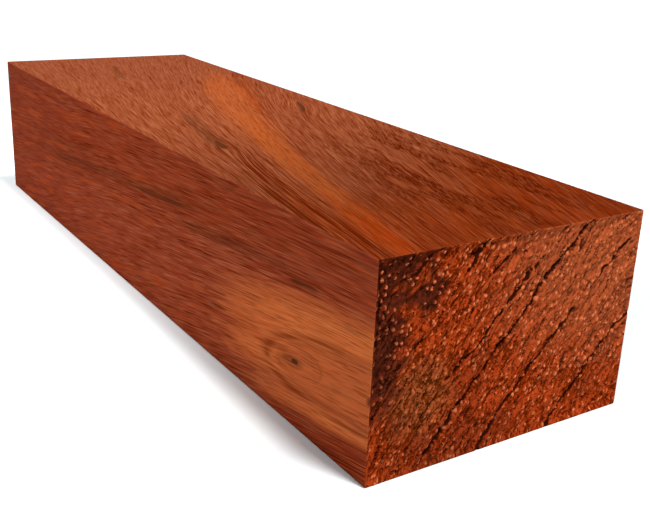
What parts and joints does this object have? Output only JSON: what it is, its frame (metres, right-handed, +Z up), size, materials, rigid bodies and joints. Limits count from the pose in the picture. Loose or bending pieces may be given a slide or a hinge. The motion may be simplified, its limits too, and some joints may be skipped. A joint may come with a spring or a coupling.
{
  "type": "squared padauk wood block",
  "caption": "Squared rectangular piece of padauk wood with four planed long faces, lightly eased edges and rough-sawn, checked end grain.",
  "frame": {"origin": "centre of the underside, on the surface that the block rests on", "axes": "+Y along the grain, from the near sawn end to the far one; +Z up out of the top face; X across the width"},
  "size_m": [0.075, 0.25, 0.05],
  "materials": {
    "padauk_heartwood": "planed long faces, satin; sawn ends, rough"
  },
  "bodies": {
    "root": {"padauk_block": "padauk_heartwood"}
  },
  "joints": []
}
